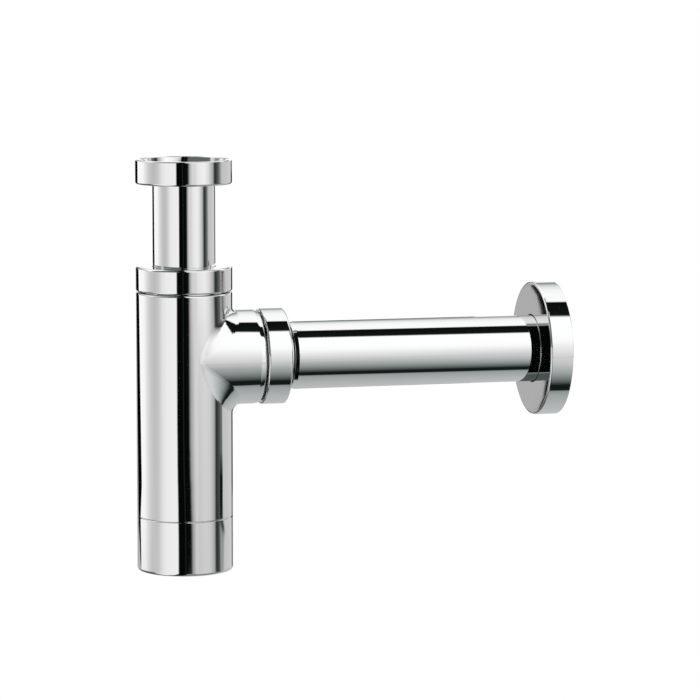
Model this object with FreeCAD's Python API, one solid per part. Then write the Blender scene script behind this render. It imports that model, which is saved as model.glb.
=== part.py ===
import FreeCAD, Part
import math
import os

# Bottle trap for a wash basin: an inlet tube dips into an upright bottle, a branch leads
# through a straight outlet tube to the wall, and a cup at the bottom screws off for cleaning.
# Millimetres. The origin is the centre of the inlet's sealing plane, +Z up, +X to the wall.

# Tubes
inlet_diameter = 29.5
outlet_diameter = 32.0
tube_wall = 1.2
exposed_inlet = 38.8
dip_below_branch = 71.9
outlet_insertion = 16.6
outlet_run = 123.7
spigot_drop = 1.25
spigot_show = 2.2
swage_taper_drop = 0.45
swage_step_length = 0.6
swage_taper_length = 1.9
swage_radius = 0.6

# Section through a neck and its nut, outwards from the tube: wedge seal, neck, thread, nut
seal_width = 3.25
neck_wall = 1.5
thread_depth = 1.5
nut_wall = 1.7

# Nuts and the threaded necks that they screw onto
nut_height = 11.5
nut_ceiling = 2.3
nut_edge_radius = 1.0
slip_ring_thickness = 1.0
neck_length = 8.0
neck_lead_in = 0.6
seat_depth = 3.8
seat_taper = 1.2
nut_gap = 0.5
branch_nut_gap = 0.7

# Union nut for the basin waste, with the washer and the tube's collar in its chamber
collar_width = 3.85
collar_play = 1.3
chamber_step = 1.1
collar_thickness = 1.2
mouth_depth = 6.0
mouth_chamfer = 0.4
washer_thickness = 1.8
inlet_ring_thickness = 0.8

# Bottle and its side branch
body_set_back = 0.05
branch_set_back = 0.35
body_wall = 2.15
body_length = 106.4
branch_drop = 31.8
branch_stub = 12.65
blend_front_radius = 25.0
blend_upper_radius = 1.2
blend_lower_radius = 3.0
shoulder_radius = 0.9
branch_ease_length = 2.6
branch_ease_drop = 0.5
branch_ease_radius = 4.0
branch_end_radius = 1.2
crown_thickness = 2.6
lower_neck_wall = 1.7

# Cleaning cup
cup_height = 25.8
cup_ledge = 2.15
cup_floor = 2.6
cup_edge_radius = 1.4
cup_corner_radius = 4.0
seam_gap = 0.15
seam_radius = 0.3
bottom_seal_section = 2.0

# Wall flange
flange_diameter = 64.2
flange_thickness = 11.2
flange_wall = 1.8
flange_edge_radius = 0.9
flange_boss_wall = 4.2
flange_boss_depth = 6.6
flange_seal_section = 2.6

# Clearances
tube_fit = 0.3
seal_fit = 0.05
seat_fit = 0.1
ring_fit = 0.4
washer_fit = 0.25
burr_radius = 0.3

# Diameters that follow from the section
spigot_diameter = outlet_diameter - 2 * spigot_drop
inlet_seat = inlet_diameter + 2 * seal_width
outlet_seat = spigot_diameter + 2 * seal_width
neck_core = max(inlet_seat, outlet_seat) + 2 * neck_wall
thread_bore = neck_core + 2 * thread_depth
nut_diameter = thread_bore + 2 * nut_wall
body_diameter = nut_diameter - 2 * body_set_back
branch_diameter = body_diameter - 2 * branch_set_back
collar_diameter = inlet_diameter + 2 * collar_width
chamber_bore = collar_diameter + 2 * collar_play
mouth_bore = chamber_bore + 2 * chamber_step
union_diameter = mouth_bore + 2 * nut_wall

# Levels down the inlet axis
union_bottom = mouth_depth - nut_height
collar_top = -washer_thickness
collar_bottom = collar_top - collar_thickness
inlet_ring_bottom = collar_bottom - inlet_ring_thickness
body_nut_top = union_bottom - exposed_inlet
body_nut_bottom = body_nut_top - nut_height
body_top = body_nut_bottom - nut_gap
branch_level = body_top - branch_drop
body_bottom = body_top - body_length
cup_top = body_bottom - seam_gap
cup_bottom = cup_top - cup_height
dip_end = branch_level - dip_below_branch

# Places along the outlet axis
branch_shoulder = body_diameter / 2 + branch_stub
branch_end = branch_shoulder + neck_length
outlet_nut_start = branch_shoulder + branch_nut_gap
outlet_nut_end = outlet_nut_start + nut_height
outlet_start = branch_end - outlet_insertion
spigot_end = outlet_nut_end + spigot_show
flange_face = outlet_nut_end + outlet_run
flange_back = flange_face + flange_thickness


def rounded_corner(before, corner, after, radius):
    """Start, middle and end of the arc that rounds a corner, or the sharp corner alone."""
    if not radius:
        return [corner]
    back = before - corner
    ahead = after - corner
    half = back.getAngle(ahead) / 2
    reach = min(radius / math.tan(half), 0.45 * back.Length, 0.45 * ahead.Length)
    back.normalize()
    ahead.normalize()
    inward = (back + ahead).normalize()
    depth = reach * math.tan(half) * (1 / math.sin(half) - 1)
    return [corner + back * reach, corner + inward * depth, corner + ahead * reach]


def turned(outline):
    """Solid of revolution about Z from (radius, height, corner radius) points."""
    places = [FreeCAD.Vector(r, 0, h) for r, h, _ in outline]
    count = len(places)
    corners = []
    for i, place in enumerate(places):
        corners.append(rounded_corner(places[i - 1], place, places[(i + 1) % count], outline[i][2]))
    edges = []
    for i, corner in enumerate(corners):
        if len(corner) == 3:
            edges.append(Part.Arc(*corner).toShape())
        edges.append(Part.makeLine(corner[-1], corners[(i + 1) % count][0]))
    return Part.Face(Part.Wire(edges)).revolve(FreeCAD.Vector(), FreeCAD.Vector(0, 0, 1), 360)


def along_outlet(shape, start=0.0):
    """Lays a shape turned about Z along the outlet axis, its height zero at start."""
    shape.rotate(FreeCAD.Vector(), FreeCAD.Vector(0, 1, 0), 90)
    shape.translate(FreeCAD.Vector(start, 0, branch_level))
    return shape


def raised(shape, height):
    shape.translate(FreeCAD.Vector(0, 0, height))
    return shape


def bore(radius, start, end):
    return Part.makeCylinder(radius, end - start, FreeCAD.Vector(0, 0, start))


def torus_ring(inner_radius, section):
    """Round-section rubber ring that lies on height zero."""
    ring = Part.makeTorus(inner_radius + section / 2, section / 2)
    return raised(ring, section / 2)


def clamp_nut(tube_diameter):
    """Ring nut with a smooth outside, height zero at its open end."""
    outer = nut_diameter / 2
    inner = thread_bore / 2
    hole = tube_diameter / 2 + tube_fit
    ceiling = nut_height - nut_ceiling
    return turned([
        (outer, 0, nut_edge_radius),
        (outer, nut_height, nut_edge_radius),
        (hole, nut_height, burr_radius),
        (hole, ceiling, burr_radius),
        (inner, ceiling, 0),
        (inner, 0, burr_radius),
    ])


def slip_ring(tube_diameter, thickness, outer_diameter):
    """Flat nylon ring round a tube, lying on height zero."""
    inner = tube_diameter / 2 + tube_fit
    outer = outer_diameter / 2 - ring_fit
    return turned([
        (inner, 0, 0),
        (outer, 0, 0),
        (outer, thickness, 0),
        (inner, thickness, 0),
    ])


def wedge_seal(tube_diameter, seat_diameter, gap):
    """Rubber wedge from the bottom of its seat at height zero to the slip ring above the neck."""
    inner = tube_diameter / 2 + seal_fit
    outer = seat_diameter / 2 - seat_fit
    height = seat_depth + seal_proud(gap)
    return turned([
        (inner, 0, 0),
        (outer - seat_taper, 0, 0),
        (outer, seat_depth, 0),
        (outer, height, burr_radius),
        (inner, height, burr_radius),
    ])


def seal_proud(gap):
    """How far a wedge seal stands out of its neck: what the nut and its slip ring leave."""
    return gap + nut_height - nut_ceiling - slip_ring_thickness - neck_length


def seat_cut(seat_diameter, neck_end):
    """Tapered seat for a wedge seal, open at the neck's end."""
    outer = seat_diameter / 2
    bottom = neck_end - seat_depth
    return turned([
        (0, bottom, 0),
        (outer - seat_taper, bottom, 0),
        (outer, neck_end, 0),
        (0, neck_end, 0),
    ])


def union_nut():
    """Nut for the basin waste: threaded mouth above, chamber for washer and collar below."""
    outer = union_diameter / 2
    mouth = mouth_bore / 2
    chamber = chamber_bore / 2
    hole = inlet_diameter / 2 + tube_fit
    return turned([
        (outer, union_bottom, nut_edge_radius),
        (outer, mouth_depth, nut_edge_radius),
        (mouth + mouth_chamfer, mouth_depth, 0),
        (mouth, mouth_depth - mouth_chamfer, 0),
        (mouth, 0, 0),
        (chamber, 0, 0),
        (chamber, inlet_ring_bottom, 0),
        (hole, inlet_ring_bottom, burr_radius),
        (hole, union_bottom, burr_radius),
    ])


def inlet_tube():
    """Dip tube with its collar rolled from the same wall."""
    outer = inlet_diameter / 2
    inner = outer - tube_wall
    collar = collar_diameter / 2
    return turned([
        (inner, dip_end, burr_radius),
        (outer, dip_end, burr_radius),
        (outer, collar_bottom, 0),
        (collar, collar_bottom, burr_radius),
        (collar, collar_top, burr_radius),
        (inner, collar_top, tube_wall),
    ])


def inlet_washer():
    outer = collar_diameter / 2 + ring_fit
    inner = inlet_diameter / 2 - tube_wall + washer_fit
    return turned([
        (inner, collar_top, burr_radius),
        (outer, collar_top, burr_radius),
        (outer, 0, burr_radius),
        (inner, 0, burr_radius),
    ])


def inlet_slip_ring():
    return raised(slip_ring(inlet_diameter, inlet_ring_thickness, chamber_bore), inlet_ring_bottom)


def bottle_outside():
    """Upright bottle with its threaded necks, as one turned form."""
    outer = body_diameter / 2
    neck = neck_core / 2
    return turned([
        (0, body_bottom - neck_length, 0),
        (neck, body_bottom - neck_length, neck_lead_in),
        (neck, body_bottom, 0),
        (outer, body_bottom, seam_radius),
        (outer, body_top, shoulder_radius),
        (neck, body_top, 0),
        (neck, body_top + neck_length, neck_lead_in),
        (0, body_top + neck_length, 0),
    ])


def branch_outside():
    outer = branch_diameter / 2
    neck = neck_core / 2
    return along_outlet(turned([
        (0, 0, 0),
        (outer, 0, 0),
        (outer, branch_shoulder - branch_ease_length, branch_ease_radius),
        (outer - branch_ease_drop, branch_shoulder, branch_end_radius),
        (neck, branch_shoulder, 0),
        (neck, branch_end, neck_lead_in),
        (0, branch_end, 0),
    ]))


def junction_edge(shape):
    """Edge where the branch's cylinder meets the bottle's cylinder, in a quarter of the casting."""
    for edge in shape.Edges:
        middle = edge.valueAt((edge.FirstParameter + edge.LastParameter) / 2)
        on_bottle = abs(math.hypot(middle.x, middle.y) - body_diameter / 2) < 0.01
        on_branch = abs(math.hypot(middle.y, middle.z - branch_level) - branch_diameter / 2) < 0.01
        if on_bottle and on_branch:
            return edge


def blended_quarter(outside, bottom, top, corner_radius):
    """Front half of the casting between two heights, with its share of the blend."""
    reach = branch_end + body_diameter
    slab = Part.makeBox(2 * reach, reach, top - bottom, FreeCAD.Vector(-reach, -reach, bottom))
    quarter = outside.common(slab)
    edge = junction_edge(quarter)
    radii = [blend_front_radius, corner_radius]
    if abs(edge.Vertexes[0].Z - branch_level) > 0.01:
        radii.reverse()
    return quarter.makeFillet(*radii, [edge])


def casting_outside():
    """Bottle and branch, run together in a blend that is wide in front and tight in the corners."""
    outside = bottle_outside().fuse(branch_outside()).removeSplitter()
    quarters = [
        blended_quarter(outside, branch_level, body_top + neck_length, blend_upper_radius),
        blended_quarter(outside, body_bottom - neck_length, branch_level, blend_lower_radius),
    ]
    backs = [quarter.mirror(FreeCAD.Vector(), FreeCAD.Vector(0, 1, 0)) for quarter in quarters]
    return quarters[0].fuse(quarters[1:] + backs).removeSplitter()


def trap_body():
    """Cast bottle and side branch in one piece, with three necks and a guide bore for each tube."""
    outside = casting_outside()
    cavity = body_diameter / 2 - body_wall
    crown = body_top - crown_thickness
    lower = neck_core / 2 - lower_neck_wall
    floor = body_bottom - neck_length
    inside = turned([
        (0, floor, 0),
        (lower, floor, 0),
        (lower, body_bottom, 0),
        (cavity, body_bottom + body_wall, 0),
        (cavity, crown, shoulder_radius),
        (0, crown, 0),
    ])
    guide = bore(inlet_diameter / 2 + tube_fit, crown, body_top + neck_length)
    branch_guide = along_outlet(bore(spigot_diameter / 2 + tube_fit, 0, branch_end))
    seats = [
        seat_cut(inlet_seat, body_top + neck_length),
        along_outlet(seat_cut(outlet_seat, branch_end)),
    ]
    return outside.cut(inside.fuse([guide, branch_guide] + seats)).Solids[0]


def body_nut():
    return raised(clamp_nut(inlet_diameter), body_nut_bottom)


def body_slip_ring():
    level = body_nut_top - nut_ceiling - slip_ring_thickness
    return raised(slip_ring(inlet_diameter, slip_ring_thickness, thread_bore), level)


def body_seal():
    return raised(wedge_seal(inlet_diameter, inlet_seat, nut_gap), body_top + neck_length - seat_depth)


def outlet_nut():
    return along_outlet(clamp_nut(outlet_diameter), outlet_nut_start)


def outlet_slip_ring():
    start = outlet_nut_end - nut_ceiling - slip_ring_thickness
    return along_outlet(slip_ring(outlet_diameter, slip_ring_thickness, thread_bore), start)


def outlet_seal():
    start = branch_end - seat_depth
    return along_outlet(wedge_seal(spigot_diameter, outlet_seat, branch_nut_gap), start)


def bottom_cup():
    """Cleaning cup: female thread above, ledge for the ring seal, rounded hollow below."""
    outer = body_diameter / 2
    thread = thread_bore / 2
    hollow = thread - cup_ledge
    ledge = body_bottom - neck_length - bottom_seal_section
    floor = cup_bottom + cup_floor
    return turned([
        (0, cup_bottom, 0),
        (outer, cup_bottom, cup_edge_radius),
        (outer, cup_top, seam_radius),
        (thread, cup_top, burr_radius),
        (thread, ledge, 0),
        (hollow, ledge, burr_radius),
        (hollow, floor, cup_corner_radius),
        (0, floor, 0),
    ])


def bottom_seal():
    inner = thread_bore / 2 - seal_fit - bottom_seal_section
    ledge = body_bottom - neck_length - bottom_seal_section
    return raised(torus_ring(inner, bottom_seal_section), ledge)


def outlet_tube():
    """Tube to the wall, drawn down to a spigot where it enters the branch."""
    outer = outlet_diameter / 2
    inner = outer - tube_wall
    spigot = spigot_diameter / 2
    spigot_bore = spigot - tube_wall
    step_end = spigot_end + swage_step_length
    taper_end = step_end + swage_taper_length
    return along_outlet(turned([
        (spigot_bore, outlet_start, burr_radius),
        (spigot, outlet_start, burr_radius),
        (spigot, spigot_end, burr_radius),
        (outer - swage_taper_drop, step_end, burr_radius),
        (outer, taper_end, swage_radius),
        (outer, flange_back, burr_radius),
        (inner, flange_back, burr_radius),
        (inner, taper_end, swage_radius),
        (inner - swage_taper_drop, step_end + tube_wall / 2, burr_radius),
        (spigot_bore, spigot_end + tube_wall / 2, burr_radius),
    ]))


def wall_flange():
    """Hollow wall cover, with a grooved boss inside that holds the ring on the tube."""
    outer = flange_diameter / 2
    rim = outer - flange_wall
    hole = outlet_diameter / 2 + tube_fit
    boss = outlet_diameter / 2 + flange_boss_wall
    groove = outlet_diameter / 2 + seal_fit + flange_seal_section + seat_fit
    groove_start = (flange_boss_depth - flange_seal_section) / 2
    groove_end = groove_start + flange_seal_section + seat_fit
    return along_outlet(turned([
        (hole, 0, burr_radius),
        (outer, 0, flange_edge_radius),
        (outer, flange_thickness, burr_radius),
        (rim, flange_thickness, burr_radius),
        (rim, flange_wall, flange_edge_radius),
        (boss, flange_wall, flange_edge_radius),
        (boss, flange_boss_depth, burr_radius),
        (hole, flange_boss_depth, burr_radius),
        (hole, groove_end, 0),
        (groove, groove_end, 0),
        (groove, groove_start, 0),
        (hole, groove_start, 0),
    ]), flange_face)


def flange_seal():
    start = flange_face + (flange_boss_depth - flange_seal_section + seat_fit) / 2
    return along_outlet(torus_ring(outlet_diameter / 2 + seal_fit, flange_seal_section), start)


PIECES = {
    "union_nut": union_nut,
    "inlet_washer": inlet_washer,
    "inlet_slip_ring": inlet_slip_ring,
    "inlet_tube": inlet_tube,
    "body_nut": body_nut,
    "body_slip_ring": body_slip_ring,
    "body_seal": body_seal,
    "trap_body": trap_body,
    "bottom_seal": bottom_seal,
    "bottom_cup": bottom_cup,
    "outlet_nut": outlet_nut,
    "outlet_slip_ring": outlet_slip_ring,
    "outlet_seal": outlet_seal,
    "outlet_tube": outlet_tube,
    "wall_flange": wall_flange,
    "flange_seal": flange_seal,
}

os.makedirs("parts", exist_ok=True)
for name, make in PIECES.items():
    shape = make()
    shape.exportStep(f"parts/{name}.step")
    print(name, shape.ShapeType, "valid" if shape.isValid() else "NOT VALID", round(shape.Volume))
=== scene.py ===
"""Looks of a chrome bottle trap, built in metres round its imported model."""

import logging
import math
from dataclasses import dataclass, field
from enum import Enum
from typing import ClassVar

import bmesh
import bpy
from mathutils import Matrix, Vector


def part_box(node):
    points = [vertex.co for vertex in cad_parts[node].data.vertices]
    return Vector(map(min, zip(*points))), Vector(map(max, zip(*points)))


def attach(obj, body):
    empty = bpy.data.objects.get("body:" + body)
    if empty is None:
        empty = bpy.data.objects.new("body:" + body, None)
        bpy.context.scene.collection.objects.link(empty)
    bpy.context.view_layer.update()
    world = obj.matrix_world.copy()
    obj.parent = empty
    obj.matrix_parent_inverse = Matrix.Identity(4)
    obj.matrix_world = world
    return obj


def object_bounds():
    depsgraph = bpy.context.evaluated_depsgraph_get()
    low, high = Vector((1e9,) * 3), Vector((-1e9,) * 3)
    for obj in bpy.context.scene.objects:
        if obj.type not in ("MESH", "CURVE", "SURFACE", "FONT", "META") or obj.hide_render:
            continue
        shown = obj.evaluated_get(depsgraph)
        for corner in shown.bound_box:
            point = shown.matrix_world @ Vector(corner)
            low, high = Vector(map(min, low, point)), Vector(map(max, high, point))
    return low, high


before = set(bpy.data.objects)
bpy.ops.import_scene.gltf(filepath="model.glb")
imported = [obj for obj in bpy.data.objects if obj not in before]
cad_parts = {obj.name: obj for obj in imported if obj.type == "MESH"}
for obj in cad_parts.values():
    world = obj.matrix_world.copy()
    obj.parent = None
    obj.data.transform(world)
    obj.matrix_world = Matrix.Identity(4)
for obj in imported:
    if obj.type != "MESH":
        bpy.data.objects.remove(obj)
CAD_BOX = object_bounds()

log = logging.getLogger("bottle_trap")

MM = 0.001
TOLERANCE = 1e-7
WHITE = (1.0, 1.0, 1.0, 1.0)

Rise = tuple[float, float]
Socket = bpy.types.NodeSocket


class Slot(Enum):
    """The record's material slots."""

    CHROME = "chrome_plated_brass"
    RUBBER = "black_rubber"
    NYLON = "white_nylon"


class Axis(Enum):
    """The two lines that the trap's turned pieces lie on, as unit vectors."""

    UP = (0.0, 0.0, 1.0)
    TO_WALL = (1.0, 0.0, 0.0)


def linear(hex_colour: str) -> tuple[float, float, float, float]:
    """Turns a written sRGB colour to the linear one that shaders take.

    Args:
        hex_colour: six hex digits, with or without a leading hash.

    Returns:
        Red, green, blue and an alpha of one.
    """
    digits = hex_colour.lstrip("#")
    channels = [int(digits[i:i + 2], 16) / 255 for i in (0, 2, 4)]
    low = [c / 12.92 if c <= 0.04045 else ((c + 0.055) / 1.055) ** 2.4 for c in channels]
    return (low[0], low[1], low[2], 1.0)


def add_node(
    tree: bpy.types.NodeTree,
    kind: str,
    settings: dict[str, object] | None = None,
    inputs: dict[str | int, object] | None = None,
) -> bpy.types.Node:
    """Adds a shader node with its settings, socket values and links.

    Args:
        tree: the node tree that takes the node.
        kind: the node's type name.
        settings: values for the node's own properties.
        inputs: socket name or number to a value, or to the output socket that feeds it.

    Returns:
        The new node.
    """
    node = tree.nodes.new(kind)
    for name, value in (settings or {}).items():
        setattr(node, name, value)
    for name, value in (inputs or {}).items():
        if isinstance(value, bpy.types.NodeSocket):
            tree.links.new(value, node.inputs[name])
        else:
            node.inputs[name].default_value = value
    return node


def new_material(name: str) -> bpy.types.Material:
    """Makes an empty node material."""
    material = bpy.data.materials.new(name)
    material.use_nodes = True
    material.node_tree.nodes.clear()
    return material


@dataclass(frozen=True)
class ChromePlate:
    """Bright chrome over nickel on brass: near-white mirror that shows how the brass under it was
    made, because plating follows every ripple left by the polishing wheel.

    Attributes:
        name: the material's name.
        colour: what it gives back of white light.
        roughness: where the wheel left it brightest.
        haze: how much rougher it is where the wheel smeared.
        wipe_mm: size of those smears.
        wipe_range: which part of the noise draws them.
        ripple_mm: distance between ripples in the metal under the plating.
        ripple_height_mm: their height, or nought for none.
    """

    name: str
    colour: str = "#DBDBDB"
    roughness: float = 0.028
    haze: float = 0.015
    wipe_mm: float = 6.0
    wipe_detail: float = 3.0
    wipe_roughness: float = 0.6
    wipe_range: Rise = (0.35, 0.75)
    ripple_mm: float = 14.0
    ripple_height_mm: float = 0.0

    def material(self) -> bpy.types.Material:
        """Builds the mirror metal, with its polishing haze and its ripple.

        Returns:
            The material.
        """
        made = new_material(self.name)
        tree = made.node_tree
        place = add_node(tree, "ShaderNodeTexCoord").outputs["Object"]
        wipe = add_node(
            tree, "ShaderNodeTexNoise", {"noise_dimensions": "3D"},
            {"Vector": place, "Scale": 1 / (self.wipe_mm * MM), "Detail": self.wipe_detail,
             "Roughness": self.wipe_roughness},
        )
        spread = add_node(
            tree, "ShaderNodeMapRange", {},
            {"Value": wipe.outputs["Fac"], "From Min": self.wipe_range[0], "From Max": self.wipe_range[1],
             "To Min": self.roughness, "To Max": self.roughness + self.haze},
        )
        shader = add_node(
            tree, "ShaderNodeBsdfPrincipled", {},
            {"Base Color": linear(self.colour), "Metallic": 1.0, "Roughness": spread.outputs["Result"]},
        )
        if self.ripple_height_mm:
            wave = add_node(
                tree, "ShaderNodeTexNoise", {"noise_dimensions": "3D"},
                {"Vector": place, "Scale": 1 / (self.ripple_mm * MM), "Detail": 1.0},
            )
            bump = add_node(
                tree, "ShaderNodeBump", {},
                {"Strength": 1.0, "Distance": self.ripple_height_mm * MM, "Height": wave.outputs["Fac"]},
            )
            tree.links.new(bump.outputs["Normal"], shader.inputs["Normal"])
        add_node(tree, "ShaderNodeOutputMaterial", {}, {"Surface": shader.outputs["BSDF"]})
        return made


@dataclass(frozen=True)
class MouldedRubber:
    """Black EPDM: dull, nearly black, with the fine grain of a spark-eroded mould.

    Attributes:
        colour: the rubber itself.
        bloom: the grey that comes to its surface.
        bloom_mm: size of the patches of bloom.
        grain_mm: size of the mould's grain.
        grain_depth_mm: its depth.
        grain_strength: how much of that depth the bump takes.
    """

    name: str = "moulded_epdm_rubber"
    colour: str = "#1B1B1C"
    bloom: str = "#2C2C2C"
    bloom_mm: float = 5.0
    bloom_detail: float = 4.0
    grain_mm: float = 0.25
    grain_depth_mm: float = 0.02
    grain_strength: float = 0.35
    roughness: float = 0.62
    ior: float = 1.52

    def material(self) -> bpy.types.Material:
        """Builds the rubber, with a patchy grey bloom and mould grain.

        Returns:
            The material.
        """
        made = new_material(self.name)
        tree = made.node_tree
        place = add_node(tree, "ShaderNodeTexCoord").outputs["Object"]
        patches = add_node(
            tree, "ShaderNodeTexNoise", {},
            {"Vector": place, "Scale": 1 / (self.bloom_mm * MM), "Detail": self.bloom_detail},
        )
        tone = add_node(
            tree, "ShaderNodeMixRGB", {},
            {"Fac": patches.outputs["Fac"], "Color1": linear(self.colour), "Color2": linear(self.bloom)},
        )
        grain = add_node(
            tree, "ShaderNodeTexNoise", {}, {"Vector": place, "Scale": 1 / (self.grain_mm * MM)}
        )
        bump = add_node(
            tree, "ShaderNodeBump", {},
            {"Strength": self.grain_strength, "Distance": self.grain_depth_mm * MM,
             "Height": grain.outputs["Fac"]},
        )
        shader = add_node(
            tree, "ShaderNodeBsdfPrincipled", {},
            {"Base Color": tone.outputs["Color"], "Roughness": self.roughness, "IOR": self.ior,
             "Normal": bump.outputs["Normal"]},
        )
        add_node(tree, "ShaderNodeOutputMaterial", {}, {"Surface": shader.outputs["BSDF"]})
        return made


@dataclass(frozen=True)
class MouldedNylon:
    """Natural nylon: milky white, waxy, a little translucent at its edges.

    Attributes:
        colour: the nylon itself.
        roughness: middle value of its skin.
        smoother: how much smoother the skin gets in places.
        rougher: how much rougher it gets.
        grain_mm: size of those places.
        translucency: share of light that goes under the skin.
        depth: how far red, green and blue light go under it, in metres.
    """

    name: str = "moulded_nylon"
    colour: str = "#E4E2D8"
    roughness: float = 0.38
    smoother: float = 0.06
    rougher: float = 0.1
    grain_mm: float = 0.4
    ior: float = 1.53
    translucency: float = 0.15
    depth: tuple[float, float, float] = (0.001, 0.0009, 0.0008)

    def material(self) -> bpy.types.Material:
        """Builds the nylon, with scattering under a waxy skin.

        Returns:
            The material.
        """
        made = new_material(self.name)
        tree = made.node_tree
        place = add_node(tree, "ShaderNodeTexCoord").outputs["Object"]
        skin = add_node(
            tree, "ShaderNodeTexNoise", {}, {"Vector": place, "Scale": 1 / (self.grain_mm * MM)}
        )
        sheen = add_node(
            tree, "ShaderNodeMapRange", {},
            {"Value": skin.outputs["Fac"], "To Min": self.roughness - self.smoother,
             "To Max": self.roughness + self.rougher},
        )
        shader = add_node(
            tree, "ShaderNodeBsdfPrincipled", {},
            {"Base Color": linear(self.colour), "Roughness": sheen.outputs["Result"], "IOR": self.ior,
             "Subsurface Weight": self.translucency, "Subsurface Radius": self.depth},
        )
        add_node(tree, "ShaderNodeOutputMaterial", {}, {"Surface": shader.outputs["BSDF"]})
        return made


@dataclass(frozen=True)
class ThreadRidge:
    """A right-hand pipe thread's helical ridge on a neck, or in a nut's bore.

    Attributes:
        name: the piece's name.
        body: the body that it moves with.
        axis: the line that it winds along.
        base: a point on that line, in metres.
        start: where the first turn begins along the line from base, in metres.
        end: where the last turn ends.
        root_radius: radius of the wall that carries the ridge.
        crest_radius: radius of the ridge's rounded crest.
        phase: how far round the first turn begins, in degrees.
        PITCH: how far one turn climbs.
        FOOT: the ridge's width at the wall.
        CREST: its width at the crest.
        SUNK: how deep it stands in the wall.
        RUN_OUT: the share of a turn over which each end fades into the wall.
        STEPS: facets in one turn.
    """

    name: str
    body: str
    axis: Axis
    base: tuple[float, float, float]
    start: float
    end: float
    root_radius: float
    crest_radius: float
    phase: float = 0.0

    PITCH: ClassVar[float] = 2.309 * MM
    FOOT: ClassVar[float] = 1.75 * MM
    CREST: ClassVar[float] = 0.45 * MM
    SUNK: ClassVar[float] = 0.15 * MM
    RUN_OUT: ClassVar[float] = 1 / 3
    STEPS: ClassVar[int] = 72

    def build(self, material: bpy.types.Material) -> bpy.types.Object:
        """Winds the ridge's section along the helix and fades both ends, as a cutter runs in and out.

        Args:
            material: the finish of the metal that the thread is cut in.

        Returns:
            The thread's object, riding on its body.
        """
        height = self.crest_radius - self.root_radius
        sunk = self.root_radius - math.copysign(self.SUNK, height)
        foot, crest = self.FOOT / 2, self.CREST / 2
        low = self.start + foot
        turns = (self.end - foot - low) / self.PITCH
        steps = round(turns * self.STEPS)
        rows = []
        for step in range(steps + 1):
            turned = turns * step / steps
            top = self.root_radius + height * min(1.0, min(turned, turns - turned) / self.RUN_OUT)
            section = [
                (sunk, -foot), (self.root_radius, -foot), (top, -crest),
                (top, crest), (self.root_radius, foot), (sunk, foot),
            ]
            angle = math.radians(self.phase) + turned * 2 * math.pi
            rows.append(stand(section, angle, low + turned * self.PITCH))
        mesh = skin(rows, closed=False)
        place_on_axis(mesh, self.axis, self.base)
        made = object_from(mesh, self.name, material)
        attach(made, self.body)
        return made


def stand(section: list[tuple[float, float]], angle: float, height: float = 0.0) -> list[Vector]:
    """Stands a section of radii and heights at an angle round the upright axis, at some height."""
    across, along = math.cos(angle), math.sin(angle)
    return [Vector((radius * across, radius * along, up + height)) for radius, up in section]


def skin(rows: list[list[Vector]], closed: bool) -> bmesh.types.BMesh:
    """Covers a row of equal sections with faces.

    Args:
        rows: the corners of each section.
        closed: whether the last section joins the first; if not, both ends are capped.

    Returns:
        The mesh, facing outwards.
    """
    mesh = bmesh.new()
    rings = [[mesh.verts.new(corner) for corner in row] for row in rows]
    for here, there in zip(rings, rings[1:] + (rings[:1] if closed else [])):
        for i in range(len(here)):
            mesh.faces.new((here[i - 1], here[i], there[i], there[i - 1]))
    if not closed:
        mesh.faces.new(rings[0])
        mesh.faces.new(rings[-1])
    bmesh.ops.recalc_face_normals(mesh, faces=mesh.faces)
    return mesh


def place_on_axis(mesh: bmesh.types.BMesh, axis: Axis, base: tuple[float, float, float]) -> None:
    """Turns a mesh made about Z onto one of the trap's axes and moves it to its place."""
    if axis is Axis.TO_WALL:
        turn = Matrix.Rotation(math.radians(90), 3, "Y")
        bmesh.ops.rotate(mesh, verts=mesh.verts, cent=(0, 0, 0), matrix=turn)
    bmesh.ops.translate(mesh, verts=mesh.verts, vec=base)


def object_from(mesh: bmesh.types.BMesh, name: str, material: bpy.types.Material) -> bpy.types.Object:
    """Makes a smooth-shaded object at the origin from a finished mesh."""
    data = bpy.data.meshes.new(name)
    mesh.to_mesh(data)
    mesh.free()
    for polygon in data.polygons:
        polygon.use_smooth = True
    data.materials.append(material)
    made = bpy.data.objects.new(name, data)
    bpy.context.scene.collection.objects.link(made)
    return made


def spun_ring(
    name: str, section: list[tuple[float, float]], material: bpy.types.Material,
    sharp_below: float = math.inf, steps: int = 144,
) -> bpy.types.Object:
    """Turns a closed section once round the upright axis.

    Args:
        name: name of the new object.
        section: corners as radius and height, in metres.
        material: the finish.
        sharp_below: height under which the corners stay sharp, and over which they look rounded.
        steps: facets round the ring.

    Returns:
        The new ring.
    """
    rows = [stand(section, 2 * math.pi * step / steps) for step in range(steps)]
    mesh = skin(rows, closed=True)
    made = object_from(mesh, name, material)
    vertices = made.data.vertices
    for edge in made.data.edges:
        first, second = (vertices[i].co.z for i in edge.vertices)
        edge.use_edge_sharp = abs(first - second) < TOLERANCE and first < sharp_below
    return made


@dataclass(frozen=True)
class Card:
    """A stretch of the studio round the trap: a lit card, a soft fall-off or a dark gap.

    Attributes:
        start: where it begins, in degrees.
        end: where it ends.
        start_light: brightness at its start, where 1 is white.
        end_light: brightness at its end.
    """

    start: float
    end: float
    start_light: float
    end_light: float


@dataclass(frozen=True)
class Flag:
    """A sheet of black cloth behind the trap, which draws the dark lines down its edges.

    Attributes:
        name: the sheet's name.
        corners: its corners in the XZ plane, in millimetres.
    """

    name: str
    corners: tuple[tuple[float, float], ...]


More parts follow.
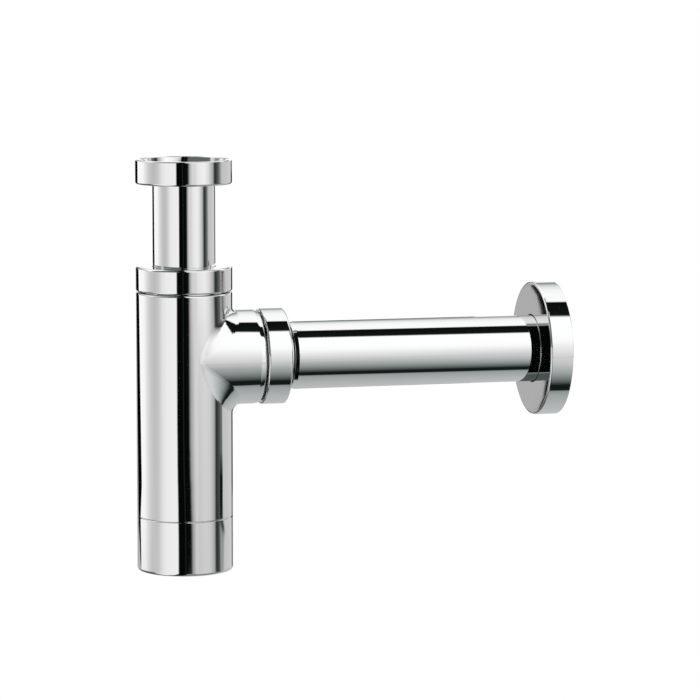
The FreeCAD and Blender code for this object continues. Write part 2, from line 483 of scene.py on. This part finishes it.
@dataclass(frozen=True)
class Span:
    """A stretch with soft ends, measured in whatever the value beside it is.

    Attributes:
        low: where it starts to rise from nought.
        rising: where it reaches one.
        falling: where it starts to fall.
        high: where it is back at nought.
    """

    low: float
    rising: float
    falling: float
    high: float

    def radians(self) -> "Span":
        """Gives the same stretch in radians, where it is written in degrees."""
        return Span(*(math.radians(v) for v in (self.low, self.rising, self.falling, self.high)))


@dataclass(frozen=True)
class Tint:
    """Colour of the studio's light: neutral when bright, and faintly green in the dark gaps.

    Attributes:
        red_fall: how fast the loss of red fades as the light grows.
        blue_fall: how fast the loss of blue fades.
        red_loss: share of red that black lacks.
        blue_loss: share of blue that black lacks.
    """

    red_fall: float
    blue_fall: float = 12.0
    red_loss: float = 0.35
    blue_loss: float = 0.18

    def colour(self, light: float) -> tuple[float, float, float, float]:
        """Gives a light its colour.

        Args:
            light: brightness, where 1 is white.

        Returns:
            The linear colour.
        """
        red = light * (1 - self.red_loss * math.exp(-self.red_fall * light))
        blue = light * (1 - self.blue_loss * math.exp(-self.blue_fall * light))
        return (red, light, blue, 1.0)


@dataclass(frozen=True)
class Sums:
    """The sums that a node tree works out, one node or two for each.

    Attributes:
        tree: the node tree.
    """

    tree: bpy.types.NodeTree

    def maths(self, operation: str, *values: object) -> Socket:
        """Adds one sum, and gives its result."""
        node = add_node(self.tree, "ShaderNodeMath", {"operation": operation}, dict(enumerate(values)))
        return node.outputs["Value"]

    def times(self, first: object, second: object) -> Socket:
        """Multiplies two values."""
        return self.maths("MULTIPLY", first, second)

    def line(self, value: object, slope: object, start: object) -> Socket:
        """Follows a straight line: the value times its slope, plus where it starts."""
        return self.maths("MULTIPLY_ADD", value, slope, start)

    def fade(self, value: object, rise: Rise) -> Socket:
        """Rises smoothly from nought to one as a value goes from one end of a rise to the other."""
        node = add_node(
            self.tree, "ShaderNodeMapRange", {"interpolation_type": "SMOOTHSTEP"},
            {"Value": value, "From Min": rise[0], "From Max": rise[1]},
        )
        return node.outputs["Result"]

    def within(self, value: object, span: Span) -> Socket:
        """Is one in the middle of a span, and fades to nought at its ends."""
        falling = self.maths("SUBTRACT", 1.0, self.fade(value, (span.falling, span.high)))
        return self.times(self.fade(value, (span.low, span.rising)), falling)

    def mix(self, share: object, first: object, second: object) -> Socket:
        """Mixes two colours, where a share of one is all of the second."""
        mixed = add_node(
            self.tree, "ShaderNodeMixRGB", {}, {"Fac": share, "Color1": first, "Color2": second}
        )
        return mixed.outputs["Color"]

    def brighten(self, colour: object, factor: object) -> Socket:
        """Multiplies a colour by a factor."""
        scaled = add_node(
            self.tree, "ShaderNodeVectorMath", {"operation": "SCALE"}, {0: colour, "Scale": factor}
        )
        return scaled.outputs["Vector"]

    def light_ramp(self, angle: Socket, cards: tuple[Card, ...], tint: Tint) -> Socket:
        """Turns an angle into the light that comes from there.

        Args:
            angle: the socket that holds the angle in radians, from -pi to pi.
            cards: the cards in order of angle, with soft edges between them.
            tint: the light's colour.

        Returns:
            The socket that holds the light.
        """
        share = add_node(
            self.tree, "ShaderNodeMapRange", {}, {"Value": angle, "From Min": -math.pi, "From Max": math.pi}
        )
        ramp = add_node(self.tree, "ShaderNodeValToRGB", {}, {"Fac": share.outputs["Result"]})
        wanted = []
        for card in cards:
            wanted += [(card.start, card.start_light), (card.end, card.end_light)]
        stops = ramp.color_ramp.elements
        while len(stops) < len(wanted):
            stops.new(0.5)
        for stop, (degrees, _) in zip(stops, wanted):
            stop.position = (degrees + 180) / 360
        for stop, (_, light) in zip(stops, wanted):
            stop.color = tint.colour(light)
        return ramp.outputs["Color"]


@dataclass(frozen=True)
class Way:
    """The way that a ray looks, taken apart.

    Attributes:
        x: how far it looks towards the wall.
        y: how far it looks backwards.
        z: how far it looks up.
        below: how far it looks down.
        round_trap: its angle round the upright axis, in radians: nought in front, growing to the wall.
        over_tube: its angle over the axis to the wall, in radians: nought in front, growing upwards.
    """

    x: Socket
    y: Socket
    z: Socket
    below: Socket
    round_trap: Socket
    over_tube: Socket

    @classmethod
    def of(cls, sums: Sums) -> "Way":
        """Adds the nodes that take the ray's way apart.

        Args:
            sums: the world's sums.

        Returns:
            The parts.
        """
        ray = add_node(sums.tree, "ShaderNodeTexCoord").outputs["Generated"]
        x, y, z = add_node(sums.tree, "ShaderNodeSeparateXYZ", {}, {"Vector": ray}).outputs
        front = sums.times(y, -1.0)
        rest = sums.maths("MAXIMUM", sums.maths("SUBTRACT", 1.0, sums.maths("POWER", x, 2.0)), 0.0)
        side = sums.times(sums.maths("SQRT", rest), sums.maths("SIGN", front))
        return cls(
            x, y, z, sums.times(z, -1.0), sums.maths("ARCTAN2", x, side), sums.maths("ARCTAN2", z, front)
        )


@dataclass(frozen=True)
class RingLight:
    """Cards and dark gaps round the trap, which its upright walls mirror.

    The right of the front gets darker towards the floor, the gaps lean there, and dark patches
    stand low on both sides, high on the left and in a slanting wedge on the right. Angles are in
    degrees round the trap; the other stretches are shares of a ray's way.

    Attributes:
        cards: the cards in order.
        tint: colour of the cards and gaps.
        patch_tint: colour of the patches.
        lean: how far the gaps lean near the floor.
        lean_round: where round the trap they lean.
        lean_below: how far down the lean sets in.
        front_round: the part of the front that is lifted.
        front_slope: how much the lift grows upwards.
        front_lift: the lift straight in front.
        upper_rise: where a further lift sets in.
        upper_lift: that further lift.
        level_rise: where it weakens again.
        level_lift: by how much.
        lying_side: where the tube to the wall mirrors instead, with an even lift.
        lying_slope: how much that even lift grows upwards.
        lying_lift: that lift straight in front.
        low_left_back: how far back the low left patch sets in.
        low_left_side: how far to the left.
        low_left_below: how far down.
        low_left_light: its light.
        high_left_round: where round the trap the high left patch lies.
        high_left_rise: how far up it sets in.
        high_left_light: its light.
        low_right_round: where round the trap the low right patch lies.
        low_right_below: how far down it sets in.
        low_right_light: its light.
        wedge_slant: how far back the wedge moves for each step down.
        wedge_slant_from: how far down it starts to.
        wedge_back: how far back it reaches.
        wedge_below: how far down it reaches.
        wedge_side: how far to the wall it sets in.
        wedge_light: its light.
    """

    cards: tuple[Card, ...] = (
        Card(-180, -158, 0.38, 0.38),
        Card(-153, -124, 0.93, 0.90),
        Card(-121, -107, 0.83, 0.62),
        Card(-99, -87, 0.53, 0.47),
        Card(-75, -64, 0.55, 0.75),
        Card(-54, -30, 0.82, 0.84),
        Card(-28.5, -15.5, 0.002, 0.002),
        Card(-15, -14, 0.02, 0.02),
        Card(-13.5, -1.6, 0.002, 0.003),
        Card(3.6, 10, 0.33, 0.485),
        Card(17, 39, 0.545, 0.62),
        Card(50, 61.5, 0.58, 0.38),
        Card(66.5, 71, 0.028, 0.035),
        Card(80, 86, 0.12, 0.38),
        Card(96, 138, 0.52, 0.57),
        Card(142, 145, 0.17, 0.17),
    )
    tint: Tint = Tint(14.0)
    patch_tint: Tint = Tint(4.5)
    lean: float = 4.2
    lean_round: Span = Span(-50, -2, 12, 30)
    lean_below: Rise = (0.145, 0.176)
    front_round: Span = Span(-16, -3, 34, 64)
    front_slope: float = 1.6
    front_lift: float = 0.26
    upper_rise: Rise = (-0.135, -0.10)
    upper_lift: float = 0.24
    level_rise: Rise = (-0.06, 0.0)
    level_lift: float = -0.20
    lying_side: Span = Span(0.18, 0.21, 0.32, 0.36)
    lying_slope: float = 1.25
    lying_lift: float = 0.34
    low_left_back: Rise = (0.0, 0.1)
    low_left_side: Rise = (-0.1, -0.2)
    low_left_below: Rise = (0.15, 0.30)
    low_left_light: float = 0.105
    high_left_round: Span = Span(-100, -93, -27, -19)
    high_left_rise: Rise = (0.05, 0.10)
    high_left_light: float = 0.13
    low_right_round: Span = Span(75, 79, 99.7, 104)
    low_right_below: Rise = (0.168, 0.171)
    low_right_light: float = 0.30
    wedge_slant: float = 51.0
    wedge_slant_from: float = 0.1695
    wedge_back: Span = Span(-0.18, -0.145, 0.01, 0.045)
    wedge_below: Span = Span(0.147, 0.158, 0.1715, 0.1745)
    wedge_side: Rise = (0.90, 0.94)
    wedge_light: float = 0.006

    def build(self, sums: Sums, way: Way) -> Socket:
        """Adds the ring's light.

        Args:
            sums: the world's sums.
            way: the ray's way.

        Returns:
            The socket that holds the light.
        """
        leaning = sums.times(
            sums.within(way.round_trap, self.lean_round.radians()), sums.fade(way.below, self.lean_below)
        )
        leaned = sums.line(leaning, -math.radians(self.lean), way.round_trap)
        lit = sums.light_ramp(leaned, self.cards, self.tint)
        lit = sums.brighten(lit, self.lift(sums, way))
        for share, light in self.patches(sums, way):
            lit = sums.mix(share, lit, self.patch_tint.colour(light))
        return sums.mix(self.wedge(sums, way), lit, self.tint.colour(self.wedge_light))

    def lift(self, sums: Sums, way: Way) -> Socket:
        """Gives the factor that brightens the right of the front.

        Args:
            sums: the world's sums.
            way: the ray's way.

        Returns:
            The socket that holds the factor, one elsewhere.
        """
        lift = sums.line(way.z, self.front_slope, self.front_lift)
        lift = sums.line(sums.fade(way.z, self.upper_rise), self.upper_lift, lift)
        lift = sums.line(sums.fade(way.z, self.level_rise), self.level_lift, lift)
        even = sums.line(way.z, self.lying_slope, self.lying_lift)
        lying = sums.within(way.x, self.lying_side)
        lift = sums.line(lying, sums.maths("SUBTRACT", even, lift), lift)
        return sums.line(sums.within(way.round_trap, self.front_round.radians()), lift, 1.0)

    def patches(self, sums: Sums, way: Way) -> list[tuple[Socket, float]]:
        """Gives the share and the light of each dark patch, in the order they are laid over.

        Args:
            sums: the world's sums.
            way: the ray's way.

        Returns:
            The low left, high left and low right patch.
        """
        left_behind = sums.times(
            sums.fade(way.y, self.low_left_back), sums.fade(way.x, self.low_left_side)
        )
        low_left = sums.times(left_behind, sums.fade(way.below, self.low_left_below))
        high_left = sums.times(
            sums.within(way.round_trap, self.high_left_round.radians()),
            sums.fade(way.z, self.high_left_rise),
        )
        low_right = sums.times(
            sums.within(way.round_trap, self.low_right_round.radians()),
            sums.fade(way.below, self.low_right_below),
        )
        return [
            (low_left, self.low_left_light),
            (high_left, self.high_left_light),
            (low_right, self.low_right_light),
        ]

    def wedge(self, sums: Sums, way: Way) -> Socket:
        """Gives the share of the dark wedge, whose back edge slants near the floor.

        Args:
            sums: the world's sums.
            way: the ray's way.

        Returns:
            The socket that holds the share.
        """
        lower = sums.maths("MAXIMUM", sums.maths("SUBTRACT", way.below, self.wedge_slant_from), 0.0)
        slanted = sums.maths("SUBTRACT", way.y, sums.times(lower, self.wedge_slant))
        face = sums.times(
            sums.within(slanted, self.wedge_back), sums.within(way.below, self.wedge_below)
        )
        return sums.times(face, sums.fade(way.x, self.wedge_side))


@dataclass(frozen=True)
class ArchLight:
    """Cards and dark gaps over the trap, which the tube to the wall and its nut mirror.

    Attributes:
        cards: the cards in order, by the angle over the tube in degrees.
        tint: their colour.
        middle: the share of a ray's way towards the wall that the tube's middle mirrors.
        reach: the least and the most such share that count.
        turn: how far the cards turn along the tube, in radians for the whole share.
        dimming: how much the low front brightens along the tube.
        low_front: that low front, in degrees.
    """

    cards: tuple[Card, ...] = (
        Card(-180, -145, 0.42, 0.46),
        Card(-110, -87, 0.44, 0.37),
        Card(-81, -73, 0.35, 0.28),
        Card(-70.5, -59.5, 0.01, 0.01),
        Card(-55.5, -35, 0.065, 0.33),
        Card(-22, -11, 0.47, 0.60),
        Card(11, 21, 0.85, 0.95),
        Card(32, 63, 0.98, 0.985),
        Card(66.4, 94.4, 0.008, 0.004),
        Card(96.5, 114, 0.94, 0.94),
        Card(129, 144, 0.87, 0.67),
        Card(158, 166.5, 0.25, 0.30),
        Card(169.5, 180, 0.87, 0.87),
    )
    tint: Tint = Tint(4.5)
    middle: float = 0.27
    reach: Rise = (0.20, 0.34)
    turn: float = 1.3
    dimming: float = 2.2
    low_front: Span = Span(-62, -54, -24, -12)

    def build(self, sums: Sums, way: Way) -> Socket:
        """Adds the arch's light.

        Args:
            sums: the world's sums.
            way: the ray's way.

        Returns:
            The socket that holds the light.
        """
        to_wall = sums.maths("MINIMUM", sums.maths("MAXIMUM", way.x, self.reach[0]), self.reach[1])
        past_middle = sums.maths("SUBTRACT", to_wall, self.middle)
        turned = sums.line(past_middle, self.turn, way.over_tube)
        low_front = sums.within(way.over_tube, self.low_front.radians())
        factor = sums.line(low_front, sums.times(past_middle, self.dimming), 1.0)
        return sums.brighten(sums.light_ramp(turned, self.cards, self.tint), factor)


@dataclass(frozen=True)
class Lamp:
    """A large soft lamp.

    Attributes:
        name: the lamp's name.
        place: where it hangs, in metres.
        size: the side of its square, in metres.
        power: its power, in watts.
    """

    name: str
    place: tuple[float, float, float]
    size: float
    power: float

    def build(self, aim: Vector) -> None:
        """Hangs the lamp, kept out of the mirror and the picture.

        Args:
            aim: the point that it shines at.
        """
        light = bpy.data.lights.new(self.name, "AREA")
        light.size = self.size
        light.energy = self.power
        lamp = bpy.data.objects.new(self.name, light)
        lamp.location = self.place
        lamp.rotation_euler = (aim - Vector(self.place)).to_track_quat("-Z", "Y").to_euler()
        lamp.visible_glossy = False
        lamp.visible_camera = False
        bpy.context.scene.collection.objects.link(lamp)


@dataclass(frozen=True)
class Studio:
    """Soft white studio with black gaps between its cards, which the chrome mirrors.

    Attributes:
        ring: what upright walls mirror.
        arch: what lying cylinders mirror.
        hand_over: how far up or down a ray looks where the arch takes over from the ring.
        arch_side: how far to the wall it looks where the arch sets in.
        back: how far back it looks where the arch takes over at all heights.
        back_rise: how far up it looks there.
        metal_share: share of light that the chrome gives back, made good in what it mirrors.
        soft_light: light on everything that is no mirror.
        flags: the black sheets.
        flags_behind: how far behind the trap they stand.
        floor_drop: how far under the trap the floor lies.
        floor_size: half the floor's side.
        lamps: the soft lamps.
        aim: the point that they shine at.
    """

    ring: RingLight = RingLight()
    arch: ArchLight = ArchLight()
    hand_over: Rise = (0.183, 0.215)
    arch_side: Rise = (-0.10, -0.06)
    back: Rise = (0.0, 0.3)
    back_rise: Rise = (0.0, 0.04)
    metal_share: float = 0.70
    soft_light: float = 0.9
    flags: tuple[Flag, ...] = (
        Flag(
            "black_flag_left",
            ((-140, 5), (-155, -60), (-178, -100), (-205, -150), (-240, -201), (-182, -214), (-190, -224),
             (-200, -240), (-185, -250), (-158, -238), (-136, -224), (-92, -211), (-70, -150), (-35, -60),
             (-20, 5)),
        ),
        Flag(
            "black_flag_middle",
            ((60, -158), (88.6, -156.5), (84.9, -148), (83.7, -139), (84, -120), (86.3, -101), (87.2, -96.6),
             (89, -90), (93, -84), (60, -84)),
        ),
        Flag("black_flag_right", ((108, -200), (217, -200), (217, -20), (108, -20))),
    )
    flags_behind: float = 250 * MM
    floor_drop: float = 60 * MM
    floor_size: float = 6.0
    lamps: tuple[Lamp, ...] = (
        Lamp("soft_lamp_left", (-0.9, -0.8, 0.9), 0.9, 3.0),
        Lamp("soft_lamp_right", (0.9, -0.9, 0.7), 0.9, 2.0),
    )
    aim: tuple[float, float, float] = (0.08, 0.0, -0.09)

    def build(self, lowest: float) -> None:
        """Sets up the studio round the trap.

        Args:
            lowest: the trap's lowest point, in metres.
        """
        self.build_world()
        self.build_floor(lowest)
        self.build_flags()
        for lamp in self.lamps:
            lamp.build(Vector(self.aim))
        log.info("lit the studio")

    def arch_share(self, sums: Sums, way: Way) -> Socket:
        """Gives how much of the mirrored light comes from the arch.

        Args:
            sums: the world's sums.
            way: the ray's way.

        Returns:
            The socket that holds the share.
        """
        steep = sums.fade(sums.maths("ABSOLUTE", way.z), self.hand_over)
        behind = sums.times(sums.fade(way.y, self.back), sums.fade(way.z, self.back_rise))
        return sums.maths("MAXIMUM", sums.times(steep, sums.fade(way.x, self.arch_side)), behind)

    def build_world(self) -> None:
        """Lights the trap from all round, and shows plain white to the camera."""
        world = bpy.data.worlds.new("soft_white_studio")
        bpy.context.scene.world = world
        world.use_nodes = True
        world.cycles.sampling_method = "NONE"
        tree = world.node_tree
        tree.nodes.clear()
        sums = Sums(tree)
        way = Way.of(sums)
        ring = self.ring.build(sums, way)
        arch = self.arch.build(sums, way)
        mirrored = sums.mix(self.arch_share(sums, way), ring, arch)

        def background(colour: object, strength: float) -> Socket:
            """Adds a background of one colour, and gives its shader."""
            node = add_node(tree, "ShaderNodeBackground", {}, {"Color": colour, "Strength": strength})
            return node.outputs["Background"]

        rays = add_node(tree, "ShaderNodeLightPath").outputs
        with_glossy = add_node(
            tree, "ShaderNodeMixShader", {},
            {"Fac": rays["Is Glossy Ray"], 1: background(WHITE, self.soft_light),
             2: background(mirrored, 1 / self.metal_share)},
        )
        plain = sums.maths("MAXIMUM", rays["Is Camera Ray"], rays["Is Transmission Ray"])
        seen = add_node(
            tree, "ShaderNodeMixShader", {},
            {"Fac": plain, 1: with_glossy.outputs[0], 2: background(WHITE, 1.0)},
        )
        add_node(tree, "ShaderNodeOutputWorld", {}, {"Surface": seen.outputs[0]})

    def build_floor(self, lowest: float) -> None:
        """Lays a wide pale floor well below the trap, and keeps it out of the mirror.

        Args:
            lowest: the trap's lowest point, in metres.
        """
        pale = new_material("pale_studio_floor")
        tree = pale.node_tree
        rays = add_node(tree, "ShaderNodeLightPath").outputs
        matt = add_node(
            tree, "ShaderNodeBsdfPrincipled", {},
            {"Base Color": linear("#F4F4F4"), "Roughness": 0.9, "Specular IOR Level": 0.0},
        )
        glow = add_node(tree, "ShaderNodeEmission", {}, {"Color": WHITE, "Strength": 1.0})
        both = add_node(
            tree, "ShaderNodeMixShader", {},
            {"Fac": rays["Is Camera Ray"], 1: matt.outputs[0], 2: glow.outputs[0]},
        )
        clear = add_node(tree, "ShaderNodeBsdfTransparent")
        under = add_node(tree, "ShaderNodeNewGeometry").outputs["Backfacing"]
        one_sided = add_node(
            tree, "ShaderNodeMixShader", {}, {"Fac": under, 1: both.outputs[0], 2: clear.outputs[0]}
        )
        add_node(tree, "ShaderNodeOutputMaterial", {}, {"Surface": one_sided.outputs[0]})
        mesh = bmesh.new()
        bmesh.ops.create_grid(mesh, x_segments=1, y_segments=1, size=self.floor_size)
        bmesh.ops.translate(mesh, verts=mesh.verts, vec=(0, 0, lowest - self.floor_drop))
        floor = object_from(mesh, "studio_floor", pale)
        floor.visible_glossy = False

    def build_flags(self) -> None:
        """Stands the black flags behind the trap, seen by nothing but its mirror."""
        black = new_material("black_flag_cloth")
        tree = black.node_tree
        cloth = add_node(
            tree, "ShaderNodeBsdfDiffuse", {}, {"Color": linear("#050505"), "Roughness": 1.0}
        )
        add_node(tree, "ShaderNodeOutputMaterial", {}, {"Surface": cloth.outputs[0]})
        for flag in self.flags:
            mesh = bmesh.new()
            corners = [mesh.verts.new((x * MM, self.flags_behind, z * MM)) for x, z in flag.corners]
            mesh.faces.new(corners)
            sheet = object_from(mesh, flag.name, black)
            sheet.visible_camera = False
            sheet.visible_diffuse = False
            sheet.visible_shadow = False


@dataclass(frozen=True)
class PhotoCamera:
    """The camera at the photograph's angle: to the left of the bottle, above the mouth, far off.

    Attributes:
        place_mm: where it stands.
        turned_right: how far it looks to the right of +Y, in degrees.
        tipped_down: how far it looks down, in degrees.
        rolled: how far it leans, in degrees.
        lens_mm: its focal length.
        sensor_mm: the width of its sensor.
        clip: the nearest and the farthest that it sees, in metres.
    """

    place_mm: tuple[float, float, float] = (-321.2, -1559.5, 108.3)
    turned_right: float = 14.45
    tipped_down: float = 6.896
    rolled: float = 0.07
    lens_mm: float = 174.68
    sensor_mm: float = 36.0
    clip: tuple[float, float] = (0.1, 50.0)

    def build(self) -> None:
        """Adds the camera and makes it the scene's."""
        data = bpy.data.cameras.new("photo_camera")
        data.sensor_width = self.sensor_mm
        data.lens = self.lens_mm
        data.clip_start, data.clip_end = self.clip
        camera = bpy.data.objects.new("photo_camera", data)
        turn = Matrix.Rotation(math.radians(-self.turned_right), 4, "Z")
        tip = Matrix.Rotation(math.radians(90 - self.tipped_down), 4, "X")
        roll = Matrix.Rotation(math.radians(self.rolled), 4, "Z")
        camera.matrix_world = Matrix.Translation(Vector(self.place_mm) * MM) @ turn @ tip @ roll
        bpy.context.scene.collection.objects.link(camera)
        bpy.context.scene.camera = camera


@dataclass
class Finishes:
    """Every finish on the trap, made once."""

    turned: bpy.types.Material = field(
        default_factory=lambda: ChromePlate("chrome_plated_turned_brass").material()
    )
    drawn: bpy.types.Material = field(
        default_factory=lambda: ChromePlate("chrome_plated_drawn_brass_tube").material()
    )
    cast: bpy.types.Material = field(
        default_factory=lambda: ChromePlate("chrome_plated_cast_brass", ripple_height_mm=0.02).material()
    )
    rubber: bpy.types.Material = field(default_factory=lambda: MouldedRubber().material())
    nylon: bpy.types.Material = field(default_factory=lambda: MouldedNylon().material())


@dataclass
class SubAssembly:
    """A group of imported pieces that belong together, with what is cut into them.

    Attributes:
        finishes: the finishes to dress them in.
        NECK_LENGTH: length of each of the casting's threaded necks.
        BURR: what is broken off a nut's sharp inner edge.
    """

    finishes: Finishes

    NECK_LENGTH: ClassVar[float] = 8.0 * MM
    BURR: ClassVar[float] = 0.3 * MM

    def dress(self, node: str, material: bpy.types.Material) -> None:
        """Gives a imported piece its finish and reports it."""
        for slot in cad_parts[node].material_slots:
            slot.material = material
        log.info("dressed %s in %s", node, material.name)

    def cut(self, thread: ThreadRidge, material: bpy.types.Material) -> None:
        """Adds a thread and reports it."""
        thread.build(material)
        log.info("cut %s", thread.name)


@dataclass
class Inlet(SubAssembly):
    """Union nut for the basin waste, with the washer and the dip tube that hangs in it.

    Attributes:
        mouth_radius: radius of the thread's root.
        mouth_crest: radius of its crest.
        land_step: how far the land lies inside the mouth.
        land_depth: how deep the thread starts.
        land_soft: how far down the land's edges look rounded.
        land_profile_mm: the land's inner face from its edge down, as what it stands out from the
            root and how deep it lies.
        land_foot_sunk: how deep the land's foot stands in the wall.
    """

    mouth_radius: float = 21.0 * MM
    mouth_crest: float = 19.6 * MM
    land_step: float = 0.1 * MM
    land_depth: float = 2.8 * MM
    land_soft: float = 0.3 * MM
    land_profile_mm: tuple[tuple[float, float], ...] = (
        (-0.35, 0.0), (0.75, 0.0), (0.93, 0.06), (1.05, 0.2), (1.06, 0.27), (1.34, 2.4),
    )
    land_foot_sunk: float = 0.15 * MM

    def build(self) -> None:
        """Dresses the inlet, faces its mouth's land and cuts the thread under it."""
        self.dress("union_nut", self.finishes.turned)
        self.dress("inlet_tube", self.finishes.drawn)
        self.dress("inlet_washer", self.finishes.rubber)
        self.dress("inlet_slip_ring", self.finishes.nylon)
        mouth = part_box("union_nut")[1].z
        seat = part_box("inlet_washer")[1].z
        self.cut(
            ThreadRidge(
                "union_nut_thread", "union_nut", Axis.UP, (0.0, 0.0, 0.0), seat,
                mouth - self.land_depth, self.mouth_radius, self.mouth_crest,
            ),
            self.finishes.turned,
        )
        self.face_land(mouth)

    def face_land(self, mouth: float) -> None:
        """Turns the plain land that leads into the thread, a little wider at its top.

        Args:
            mouth: height of the nut's open end, in metres.
        """
        top, foot = mouth - self.land_step, mouth - self.land_depth
        section = [
            (self.mouth_radius - out * MM, top - deep * MM) for out, deep in self.land_profile_mm
        ]
        section += [(self.mouth_crest, foot), (self.mouth_radius + self.land_foot_sunk, foot)]
        land = spun_ring("union_nut_land", section, self.finishes.turned, top - self.land_soft)
        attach(land, "union_nut")
        log.info("faced %s", land.name)


@dataclass
class ThreadedJoint(SubAssembly):
    """A neck of the casting and the nut or cup that screws onto it.

    Attributes:
        name: what the joint is called.
        axis: the line of the neck.
        base: the point on that line that the places below are measured from.
        shoulder: where the neck starts at the casting, along the line.
        tip: where the neck ends.
        nut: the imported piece, and the body, that screws on.
        nut_open: where the nut's thread starts at its open end.
        nut_end: where the nut's thread ends.
        neck_radius: radius of the neck's thread at its root.
        neck_crest: radius of that thread at its crest.
        bore_radius: radius of the nut's thread at its root.
        bore_crest: radius of that thread at its crest.
        lead_in: how far from the neck's tip its thread starts.
    """

    name: str
    axis: Axis
    base: tuple[float, float, float]
    shoulder: float
    tip: float
    nut: str
    nut_open: float
    nut_end: float

    neck_radius: float = 19.5 * MM
    neck_crest: float = 20.9 * MM
    bore_radius: float = 21.0 * MM
    bore_crest: float = 19.6 * MM
    lead_in: float = 0.6 * MM

    def build(self) -> None:
        """Cuts the pair of threads, half a pitch apart so that they interleave."""
        low, high = sorted((self.shoulder, self.tip))
        if self.tip > self.shoulder:
            high -= self.lead_in
        else:
            low += self.lead_in
        self.cut(
            ThreadRidge(
                f"{self.name}_neck_thread", "trap_body", self.axis, self.base, low, high,
                self.neck_radius, self.neck_crest,
            ),
            self.finishes.cast,
        )
        nut_low, nut_high = sorted((self.nut_open, self.nut_end))
        turns = (nut_low - low) / ThreadRidge.PITCH
        self.cut(
            ThreadRidge(
                f"{self.nut}_thread", self.nut, self.axis, self.base, nut_low, nut_high,
                self.bore_radius, self.bore_crest, phase=360 * (turns + 0.5),
            ),
            self.finishes.turned,
        )


@dataclass
class Bottle(SubAssembly):
    """The casting with its necks, the nut on top of it and the cleaning cup under it.

    Attributes:
        rim_radius: outer radius of the land on the cup's rim.
        rim_width: width of that land.
        rim_height: what it stands out from the rim.
        rim_sunk: how deep it stands in the rim.
    """

    rim_radius: float = 22.42 * MM
    rim_width: float = 0.7 * MM
    rim_height: float = 0.13 * MM
    rim_sunk: float = 0.1 * MM

    def build(self) -> None:
        """Dresses the bottle, cuts the threads of both its necks and raises the cup's rim."""
        self.dress("trap_body", self.finishes.cast)
        self.dress("body_nut", self.finishes.turned)
        self.dress("bottom_cup", self.finishes.turned)
        self.dress("body_slip_ring", self.finishes.nylon)
        for seal in ("body_seal", "bottom_seal"):
            self.dress(seal, self.finishes.rubber)
        low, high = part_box("trap_body")
        nut_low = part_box("body_nut")[0].z
        ring_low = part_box("body_slip_ring")[0].z
        ThreadedJoint(
            self.finishes, "top", Axis.UP, (0.0, 0.0, 0.0), high.z - self.NECK_LENGTH, high.z,
            "body_nut", nut_low + self.BURR, ring_low,
        ).build()
        cup_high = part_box("bottom_cup")[1].z
        ThreadedJoint(
            self.finishes, "bottom", Axis.UP, (0.0, 0.0, 0.0), low.z + self.NECK_LENGTH, low.z,
            "bottom_cup", cup_high - self.BURR, low.z,
        ).build()
        self.raise_rim(cup_high)

    def raise_rim(self, cup_high: float) -> None:
        """Turns the low land on the cup's rim that all but closes the seam under the bottle.

        Args:
            cup_high: height of the cup's rim, in metres.
        """
        foot, top = cup_high - self.rim_sunk, cup_high + self.rim_height
        inner, outer = self.rim_radius - self.rim_width, self.rim_radius
        section = [(inner, foot), (outer, foot), (outer, top), (inner, top)]
        rim = spun_ring("bottom_cup_rim", section, self.finishes.turned)
        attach(rim, "bottom_cup")
        log.info("raised %s", rim.name)


@dataclass
class Outlet(SubAssembly):
    """The branch's nut and seals, the outlet tube and the flange that slides along it."""

    def build(self) -> None:
        """Dresses the outlet and cuts the threads of its neck and nut."""
        self.dress("outlet_nut", self.finishes.turned)
        self.dress("wall_flange", self.finishes.turned)
        self.dress("outlet_tube", self.finishes.drawn)
        self.dress("outlet_slip_ring", self.finishes.nylon)
        for seal in ("outlet_seal", "flange_seal"):
            self.dress(seal, self.finishes.rubber)
        neck_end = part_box("trap_body")[1].x
        nut_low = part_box("outlet_nut")[0].x
        ring_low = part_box("outlet_slip_ring")[0].x
        tube_low, tube_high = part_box("outlet_tube")
        ThreadedJoint(
            self.finishes, "branch", Axis.TO_WALL, (0.0, 0.0, (tube_low.z + tube_high.z) / 2),
            neck_end - self.NECK_LENGTH, neck_end, "outlet_nut", nut_low + self.BURR, ring_low,
        ).build()


def main() -> None:
    """Dresses the trap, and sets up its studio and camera."""
    logging.basicConfig(level=logging.INFO, format="%(message)s")
    finishes = Finishes()
    Inlet(finishes).build()
    Bottle(finishes).build()
    Outlet(finishes).build()
    Studio().build(CAD_BOX[0].z)
    PhotoCamera().build()
    bpy.context.scene.view_settings.view_transform = "Standard"


if __name__ == "__main__":
    main()
